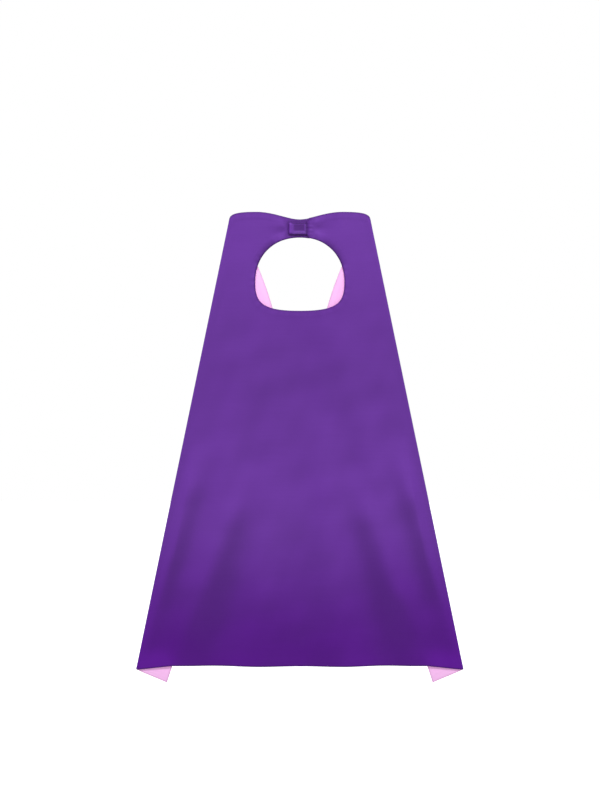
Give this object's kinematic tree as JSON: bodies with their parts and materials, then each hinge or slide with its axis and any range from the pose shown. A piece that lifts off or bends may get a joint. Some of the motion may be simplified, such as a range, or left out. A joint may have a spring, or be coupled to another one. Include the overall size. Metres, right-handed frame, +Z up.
{
  "type": "superhero cape",
  "caption": "Child's two-sided satin cape with a round neck opening, a hook-and-loop tab at the throat and both side edges folded behind.",
  "frame": {"origin": "centre of the neck opening, on the outer satin", "axes": "+Z up from the hem to the closure, +Y from the outer satin towards the wearer's back, +X across the cape to the right of someone who looks at the outer satin"},
  "size_m": [0.5046, 0.0185, 0.726],
  "materials": {
    "outer_satin": "purple polyester satin, soft sheen",
    "lining_satin": "pale pink polyester satin, soft sheen",
    "turned_edge": "raw satin edges, matt",
    "sewing_thread": "purple polyester thread",
    "hook_tape": "woven tape with moulded hooks",
    "loop_tape": "brushed loop pile, matt"
  },
  "bodies": {
    "centre_panel": {"outer_centre_panel": "outer_satin", "lining_centre_panel": "lining_satin", "hem_seam_allowance": "turned_edge", "top_left_seam_allowance": "turned_edge", "top_right_seam_allowance": "turned_edge", "neck_seam_allowance": "turned_edge", "hem_seam_thread": "sewing_thread", "top_left_seam_thread": "sewing_thread", "top_right_seam_thread": "sewing_thread", "neck_seam_thread": "sewing_thread"},
    "left_flap": {"outer_left_flap": "outer_satin", "lining_left_flap": "lining_satin", "left_flap_seam_allowance": "turned_edge", "left_flap_seam_thread": "sewing_thread"},
    "right_flap": {"outer_right_flap": "outer_satin", "lining_right_flap": "lining_satin", "right_flap_seam_allowance": "turned_edge", "right_flap_seam_thread": "sewing_thread"},
    "upper_tab": {"outer_upper_tab": "outer_satin", "lining_upper_tab": "lining_satin", "upper_tab_seam_allowance": "turned_edge", "upper_tab_seam_thread": "sewing_thread", "hook_patch": "hook_tape", "hook_patch_stitching": "sewing_thread"},
    "lower_tab": {"outer_lower_tab": "outer_satin", "lining_lower_tab": "lining_satin", "lower_tab_seam_allowance": "turned_edge", "lower_tab_seam_thread": "sewing_thread", "loop_patch": "loop_tape", "loop_patch_stitching": "sewing_thread"}
  },
  "joints": [
    {"name": "left_flap_fold", "type": "hinge", "parent": "centre_panel", "child": "left_flap", "pos_m": [-0.1264, 0.003, 0], "axis": [0.2027, 0, 0.9792], "range_deg": [0, 170]},
    {"name": "right_flap_fold", "type": "hinge", "parent": "centre_panel", "child": "right_flap", "pos_m": [0.1264, 0.003, 0], "axis": [0.2027, 0, -0.9792], "range_deg": [0, 170]},
    {"name": "upper_tab_peel", "type": "hinge", "parent": "centre_panel", "child": "upper_tab", "pos_m": [0.02, -0.0048, 0.0703], "axis": [0, 0, 1], "range_deg": [0, 150]},
    {"name": "lower_tab_bend", "type": "hinge", "parent": "centre_panel", "child": "lower_tab", "pos_m": [-0.02, 0.0019, 0.0703], "axis": [0, 0, 1], "range_deg": [0, 100]}
  ]
}
